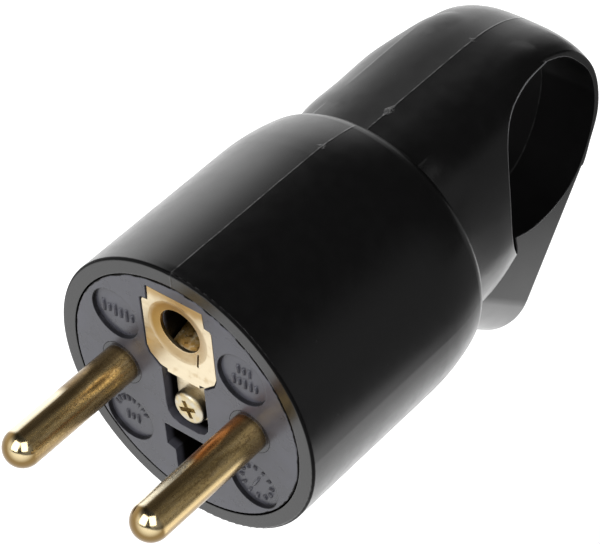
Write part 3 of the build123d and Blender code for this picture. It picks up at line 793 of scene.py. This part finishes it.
@dataclass(frozen=True)
class StampedBrass(Finish):
    """Satin pale brass sheet of the earth plate, with burred bright edges."""

    name: str = "stamped plate brass"
    colour: Colour = (0.68, 0.58, 0.4)
    rolled: Colour = (0.72, 0.66, 0.53)
    # golden of the painted shade in the dish and along the top, and of random patches
    golden: Colour = (0.37, 0.23, 0.07)
    roughness: float = 0.36
    hole_mm: Point = (0.0, 0.0, 9.7)
    leaning: Point = (-0.8, 0.0, 0.6)
    dish_mm: Span = (3.7, 4.5)
    lean_mm: Span = (-3.5, 3.0)
    top_mm: Span = (13.6, 15.2)

    def dress(self, nodes: Nodes, shader: bpy.types.Node, where: Socket) -> None:
        """Pale metal with rolling streaks and random golden patches, with golden painted shade in the dish
        round the hole and along the top.

        The dish's painted shade reaches to 4.4 mm from the hole's axis and is most golden on its left and
        upper side.

        Args:
            nodes: The material's nodes.
            shader: The Principled shader.
            where: The plug's own coordinates in millimetres.
        """
        grain = nodes.effect(Effect.GRAIN, where, Size=8.0, Depth=0.003)
        rolled = nodes.noise(nodes.about(where, (0.15, 1.0, 1.0)), 3.0, 4.0, 0.65)
        patch = nodes.noise(where, 0.6, 3.0)
        flat = nodes.about(where, ACROSS, self.hole_mm)
        inside = nodes.ramp(nodes.measure("LENGTH", flat), *self.dish_mm, 1.0, 0.0)
        leaning = nodes.measure("DOT_PRODUCT", flat, self.leaning)
        # painted shade in the dish round the hole, strongest on its left and upper side
        dish = nodes.product(inside, nodes.ramp(leaning, *self.lean_mm, 0.25, 1.0))
        _, _, z = nodes.split(where)
        # painted shade along the plate's upper edge
        top = nodes.ramp(nodes.total(z, nodes.product(patch, 1.5)), *self.top_mm, 0.0, 0.8)
        share = nodes.highest(dish, top, nodes.ramp(patch, 0.52, 0.75, 0.0, 0.5))
        pale = nodes.mix(nodes.product(rolled, 0.35), self.colour, self.rolled)
        nodes.fill(shader, {
            "Base Color": nodes.mix(share, pale, self.golden),
            "Roughness": nodes.ramp(rolled, 0.3, 0.7, self.roughness - 0.08, self.roughness + 0.08),
            "Metallic": 1.0,
        })
        self.relief(nodes, shader, grain.outputs["Height"], 0.12)


@dataclass(frozen=True)
class PlatedSteel(Finish):
    """Plated screws and small stamped pieces."""

    name: str = "plated screw steel"
    colour: Colour = (0.5, 0.46, 0.37)
    yellowed: Colour = (0.56, 0.44, 0.2)
    # dark colour of the painted shade on walls upright on the face
    side_shade: Colour = (0.09, 0.075, 0.05)
    roughness: float = 0.36
    screw_mm: Point = (0.0, 0.0, -2.2)
    golden_mm: Span = (0.8, 1.5)
    upright_from_mm: Span = (1.5, 1.8)
    upright_facing: Span = (0.35, 0.75)

    def dress(self, nodes: Nodes, shader: bpy.types.Node, where: Socket) -> None:
        """Pale metal with yellowish patches, golden in the middle of the fixing screw.

        Walls that stand upright on the face, such as the side of the head, carry a dark painted shade:
        those whose normal has little along the pins, outside 1.5 mm from the screw's axis.

        Args:
            nodes: The material's nodes.
            shader: The Principled shader.
            where: The plug's own coordinates in millimetres.
        """
        scuffs = nodes.effect(Effect.SCUFFS, where, Level=0.56, Size=5.0)
        patch = nodes.noise(where, 1.3, 3.0)
        far = nodes.measure("LENGTH", nodes.about(where, ACROSS, self.screw_mm))
        middle = nodes.ramp(far, *self.golden_mm, 0.75, 0.0)
        yellow = nodes.highest(middle, nodes.ramp(patch, 0.4, 0.65, 0.0, 0.6))
        base = nodes.mix(yellow, self.colour, self.yellowed)
        # painted shade on walls that stand upright on the face
        along = nodes.size(nodes.measure("DOT_PRODUCT", nodes.normal(), REST.back))
        upright = nodes.product(nodes.ramp(along, *self.upright_facing, 0.8, 0.0),
                                nodes.ramp(far, *self.upright_from_mm))
        nodes.fill(shader, {
            "Base Color": nodes.mix(upright, base, self.side_shade),
            "Roughness": nodes.ramp(patch, 0.3, 0.7, self.roughness - 0.06, self.roughness + 0.1),
            "Metallic": 1.0,
        })
        self.relief(nodes, shader, scuffs.outputs["Height"], 0.1)


@dataclass(frozen=True)
class SpringBronze(Finish):
    """Springy copper alloy of the earth leaf."""

    name: str = "spring bronze"
    colour: Colour = (0.62, 0.37, 0.11)
    pale: Colour = (0.74, 0.62, 0.4)
    brown: Colour = (0.16, 0.08, 0.025)

    def dress(self, nodes: Nodes, shader: bpy.types.Node, where: Socket) -> None:
        """Warm metal, brown in specks and rubbed pale in patches.

        Args:
            nodes: The material's nodes.
            shader: The Principled shader.
            where: The plug's own coordinates in millimetres.
        """
        grain = nodes.effect(Effect.GRAIN, where, Size=8.0, Depth=0.002)
        rubbed = nodes.noise(where, 0.9, 4.0, 0.7)
        specks = nodes.ramp(nodes.noise(where, 1.6, 4.0, 0.7), 0.52, 0.64, 0.0, 0.8)
        base = nodes.mix(nodes.ramp(rubbed, 0.46, 0.66), self.colour, self.pale)
        nodes.fill(shader, {
            "Base Color": nodes.mix(specks, base, self.brown),
            "Roughness": nodes.ramp(rubbed, 0.3, 0.7, 0.32, 0.48),
            "Metallic": 1.0,
        })
        self.relief(nodes, shader, grain.outputs["Height"], 0.08)


# Meshes
def grid_faces(rows: int, columns: int) -> np.ndarray:
    """Quads that join a grid of points, its rows one after another.

    Args:
        rows: Number of rows.
        columns: Number of columns.

    Returns:
        Array (quads, 4) of point numbers.
    """
    index = np.arange(rows * columns).reshape(rows, columns)
    corners = [index[:-1, :-1], index[:-1, 1:], index[1:, 1:], index[1:, :-1]]
    return np.stack(corners, axis=-1).reshape(-1, 4)


def mesh_object(name: str, points: np.ndarray, faces: np.ndarray) -> bpy.types.Object:
    """Make a smooth-shaded object from points in metres and an array of faces.

    Args:
        name: Name of the object and of its mesh.
        points: Array (n, 3) in the row frame.
        faces: Array (m, corners) of point numbers.

    Returns:
        The new object, linked into the scene.
    """
    mesh = bpy.data.meshes.new(name)
    mesh.from_pydata(points, [], faces)
    mesh.polygons.foreach_set("use_smooth", np.ones(len(mesh.polygons), dtype=bool))
    mesh.update()
    piece = bpy.data.objects.new(name, mesh)
    bpy.context.scene.collection.objects.link(piece)
    return piece


def dress_node(node: str, material: bpy.types.Material) -> None:
    """Give a CAD node's slots the material.

    Args:
        node: Name of the node.
        material: The material.
    """
    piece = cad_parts[node]
    for slot in piece.material_slots:
        slot.material = material
    if not piece.material_slots:
        piece.data.materials.append(material)


# Sub-assemblies
@dataclass
class SubAssembly:
    """CAD nodes that share one finish."""

    nodes: tuple[str, ...]
    finish: Finish

    def build(self) -> None:
        """Build nothing: the CAD nodes are already there."""

    def dress(self) -> bpy.types.Material:
        """Give every node the finish's material.

        Returns:
            The material.
        """
        material = self.finish.material()
        for node in self.nodes:
            dress_node(node, material)
        LOG.info("%s: %s", self.finish.name, ", ".join(self.nodes))
        return material


@dataclass
class Housing(SubAssembly):
    """The one-piece black moulding with its finger loop."""

    nodes: tuple[str, ...] = ("housing",)
    finish: Finish = field(default_factory=MouldedPvc)


@dataclass(frozen=True)
class Bar:
    """One raised bar on the floor of a mark: place from the mark's centre, size and turn."""

    right: float
    up: float
    length: float
    turn_deg: float = 90.0
    width: float = 0.42
    samples: ClassVar[tuple[int, int]] = (11, 7)
    sunk_mm: ClassVar[float] = 0.02

    def points(self, centre: tuple[float, float], floor_mm: float, rise_mm: float) -> np.ndarray:
        """Sample the bar as a grid.

        With p along and q across, both from -1 to 1, the height over the floor is
        rise (1 - p^6) (1 - q^4), less the little by which the edges are sunk.

        Args:
            centre: X and Z of the mark's centre.
            floor_mm: Y of the mark's floor.
            rise_mm: Height of the bar.

        Returns:
            Array (samples along, samples across, 3) in the plug's frame, in millimetres.
        """
        p, q = np.meshgrid(*(np.linspace(-1, 1, count) for count in self.samples), indexing="ij")
        a = math.radians(self.turn_deg)
        along, across = p * self.length / 2, q * self.width / 2
        x = centre[0] + self.right + along * math.cos(a) - across * math.sin(a)
        z = centre[1] + self.up + along * math.sin(a) + across * math.cos(a)
        y = floor_mm + self.sunk_mm - rise_mm * (1 - p ** 6) * (1 - q ** 4)
        return np.stack([x, y, z], axis=-1)


def ticks(radius: float, start_deg: float, end_deg: float, count: int, length: float) -> tuple[Bar, ...]:
    """Bars that point outwards along an arc round the mark's centre.

    Args:
        radius: Radius on which the bars' middles lie.
        start_deg: Angle of the first bar from X.
        end_deg: Angle of the last bar.
        count: Number of bars.
        length: Length of each.

    Returns:
        The bars.
    """
    turns = [float(a) for a in np.linspace(start_deg, end_deg, count)]
    middles = [(radius * math.cos(math.radians(a)), radius * math.sin(math.radians(a))) for a in turns]
    return tuple(Bar(right, up, length, turn) for (right, up), turn in zip(middles, turns))


def bar_row(up: float, lengths: tuple[float, ...], step: float) -> tuple[Bar, ...]:
    """Upright bars in a row at one height.

    Args:
        up: Height of the row over the mark's centre.
        lengths: Length of each bar, from left to right.
        step: Distance from one bar to the next.

    Returns:
        The bars.
    """
    start = -step * (len(lengths) - 1) / 2
    return tuple(Bar(start + step * i, up, length) for i, length in enumerate(lengths))


@dataclass
class ContactInsert(SubAssembly):
    """The dark insert and the generic low relief in its four round marks."""

    nodes: tuple[str, ...] = ("contact_insert", "cord_clamp_bar")
    finish: Finish = field(default_factory=HardMoulding)
    floor_mm: float = 0.5
    rise_mm: float = 0.32
    relief: dict[Mark, tuple[Bar, ...]] = field(default_factory=lambda: {
        Mark.UPPER_LEFT: bar_row(0.0, (1.9, 1.2, 1.9, 1.5, 1.9, 1.1), 0.85),
        Mark.UPPER_RIGHT: bar_row(1.0, (1.3, 1.0, 1.3), 0.8) + bar_row(-0.9, (1.5, 1.1, 1.5, 1.5, 1.1), 0.8),
        Mark.LOWER_LEFT: ticks(2.3, 20.0, 160.0, 8, 0.9) + bar_row(-0.5, (1.4, 0.9, 1.4), 0.8),
        Mark.LOWER_RIGHT: ticks(2.2, 0.0, 330.0, 12, 0.7) + (Bar(0.0, 0.0, 2.0, 60.0),),
    })
    raised: list[bpy.types.Object] = field(default_factory=list)

    def build(self) -> None:
        """Raise the marks' bars, one object for each mark."""
        cells = grid_faces(*Bar.samples)
        count = math.prod(Bar.samples)
        for mark, bars in self.relief.items():
            grids = [bar.points(mark.value, self.floor_mm, self.rise_mm).reshape(-1, 3) for bar in bars]
            faces = np.vstack([cells + count * i for i in range(len(bars))])
            piece = mesh_object(f"{mark.name.lower()}_mark", REST.place(np.concatenate(grids)), faces)
            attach(piece, "root")
            self.raised.append(piece)
        LOG.info("marks: %d raised bars", sum(len(bars) for bars in self.relief.values()))

    def dress(self) -> bpy.types.Material:
        """Give the insert, the clamp bar and the marks one material.

        Returns:
            The material.
        """
        material = super().dress()
        for piece in self.raised:
            piece.data.materials.append(material)
        return material


@dataclass
class Pins(SubAssembly):
    """The two live pins."""

    nodes: tuple[str, ...] = ("left_pin", "right_pin")
    finish: Finish = field(default_factory=TurnedBrass)


@dataclass
class EarthPlate(SubAssembly):
    """The earth plate and the brass pieces that go with it."""

    nodes: tuple[str, ...] = ("earth_plate", "earth_nut", "screw_sleeve")
    finish: Finish = field(default_factory=StampedBrass)


@dataclass
class EarthSpring(SubAssembly):
    """The leaf spring behind the earth hole."""

    nodes: tuple[str, ...] = ("earth_spring",)
    finish: Finish = field(default_factory=SpringBronze)


@dataclass
class Screws(SubAssembly):
    """All screws, the clamp's nuts, the pins' rings and the washer."""

    nodes: tuple[str, ...] = (
        "fixing_screw", "left_terminal_screw", "right_terminal_screw", "left_pin_ring", "right_pin_ring",
        "earth_terminal_screw", "earth_clamp_washer", "left_clamp_screw", "right_clamp_screw",
        "left_clamp_nut", "right_clamp_nut",
    )
    finish: Finish = field(default_factory=PlatedSteel)


# Studio
@dataclass(frozen=True)
class SoftBox:
    """One rectangular studio lamp: place and size in metres, power in watts."""

    name: str
    place: Point
    size: tuple[float, float]
    power: float

    def build(self) -> None:
        """Hang the lamp so that it faces the plug."""
        data = bpy.data.lights.new(self.name, "AREA")
        data.shape = "RECTANGLE"
        data.size, data.size_y = self.size
        data.energy = self.power
        lamp = bpy.data.objects.new(self.name, data)
        bpy.context.scene.collection.objects.link(lamp)
        lamp.location = self.place
        lamp.rotation_euler = Vector(self.place).to_track_quat("Z", "Y").to_euler()


@dataclass
class Studio:
    """White floor, surroundings bright at the left and dark behind, and two soft lamps."""

    floor_half: float = 3.0
    floor_drop: float = 0.0001
    floor_glow: float = 1.5
    # level of the painted shadow in the floor's reflections
    floor_dim: float = 0.22
    dim_from: Span = (0.02, 0.068)
    paper: float = 0.8
    left_glow: float = 1.65
    right_glow: float = 0.25
    dark: float = 0.04
    band_top: Span = (0.32, 0.86)
    band_left: Span = (-0.75, -0.08)
    band_right: Span = (0.5, 0.95)
    lamps: tuple[SoftBox, ...] = (
        SoftBox("left soft box", (-0.08, -0.83, 0.54), (0.68, 0.9), 6.5),
        SoftBox("right soft box", (0.62, -0.48, 0.62), (0.6, 0.9), 5.0),
    )

    def floor(self) -> None:
        """White floor; reflections see it dimmer behind the plug on its right, as a painted shadow of the plug.

        What reflections see falls by a smooth step of X + Y / 2 from floor_glow to floor_dim.
        """
        corners = np.array([[-1.0, -1.0, 0.0], [1.0, -1.0, 0.0], [1.0, 1.0, 0.0], [-1.0, 1.0, 0.0]])
        drop = np.array([0.0, 0.0, self.floor_drop])
        floor = mesh_object("floor", corners * self.floor_half - drop, np.array([[0, 1, 2, 3]]))
        material = bpy.data.materials.new("white floor")
        nodes = fresh_nodes(material)
        rays = nodes.add("ShaderNodeLightPath").outputs
        seen = nodes.math("ADD", nodes.total(rays["Is Camera Ray"], rays["Is Glossy Ray"]),
                          rays["Is Transmission Ray"], clamp=True)
        paper = nodes.add("ShaderNodeBsdfDiffuse", {"Color": (self.paper, self.paper, self.paper, 1.0)})
        x, y, _ = nodes.split(nodes.add("ShaderNodeTexCoord").outputs["Object"])
        # painted shadow of the plug on the floor, seen only in reflections
        away = nodes.total(x, nodes.product(y, 0.5))
        dimmed = nodes.ramp(away, *self.dim_from, self.floor_glow, self.floor_dim)
        level = nodes.highest(dimmed, rays["Is Camera Ray"])
        glow = nodes.add("ShaderNodeEmission", {"Color": (1.0, 1.0, 1.0, 1.0), "Strength": level})
        chosen = nodes.add("ShaderNodeMixShader", {0: seen, 1: paper.outputs[0], 2: glow.outputs[0]})
        nodes.add("ShaderNodeOutputMaterial", {"Surface": chosen.outputs[0]})
        floor.data.materials.append(material)

    def sky(self) -> None:
        """Surroundings: a low bright band at the left, a faint one at the right, else dark.

        The band is left_glow times a smooth step of -X times a smooth step down of Z.
        """
        world = bpy.data.worlds.new("surroundings")
        bpy.context.scene.world = world
        nodes = fresh_nodes(world)
        x, _, z = nodes.split(nodes.add("ShaderNodeTexCoord").outputs["Generated"])
        low = nodes.ramp(z, *self.band_top, 1.0, 0.0)
        left = nodes.product(nodes.ramp(x, *self.band_left, self.left_glow, 0.0), low)
        right = nodes.product(nodes.ramp(x, *self.band_right, 0.0, self.right_glow), low)
        seen = nodes.add("ShaderNodeLightPath").outputs["Is Camera Ray"]
        level = nodes.highest(nodes.total(left, right, self.dark), seen)
        back = nodes.add("ShaderNodeBackground", {"Color": (1.0, 1.0, 1.0, 1.0), "Strength": level})
        nodes.add("ShaderNodeOutputWorld", {"Surface": back.outputs[0]})

    def build(self) -> None:
        """Set the floor, the surroundings and the lamps."""
        self.floor()
        self.sky()
        for lamp in self.lamps:
            lamp.build()
        bpy.context.scene.view_settings.view_transform = "Standard"
        LOG.info("studio: floor and %d lamps", len(self.lamps))


@dataclass(frozen=True)
class PhotoCamera:
    """Camera at the photograph's place, with its long lens."""

    place: Point = (0.173764, -0.228875, 0.224836)
    turn_deg: Point = (54.7497, -2.1454, 39.3876)
    lens_mm: float = 180.18
    sensor_mm: float = 36.0
    near: float = 0.01
    far: float = 20.0

    def build(self) -> None:
        """Set the camera up and make it the scene's."""
        data = bpy.data.cameras.new("photo camera")
        data.lens = self.lens_mm
        data.sensor_width = self.sensor_mm
        data.clip_start, data.clip_end = self.near, self.far
        camera = bpy.data.objects.new("photo camera", data)
        bpy.context.scene.collection.objects.link(camera)
        camera.location = self.place
        camera.rotation_euler = Euler([math.radians(a) for a in self.turn_deg], "XYZ")
        bpy.context.scene.camera = camera
        LOG.info("camera: %.0f mm lens", self.lens_mm)


def main() -> None:
    """Dress the plug, set up the studio and the camera."""
    logging.basicConfig(level=logging.INFO, format="%(name)s: %(message)s")
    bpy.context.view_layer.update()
    make_grain_group()
    make_dust_group()
    make_scuff_group()
    for piece in (Housing(), ContactInsert(), Pins(), EarthPlate(), EarthSpring(), Screws()):
        piece.build()
        piece.dress()
    Studio().build()
    PhotoCamera().build()


if __name__ == "__main__":
    main()
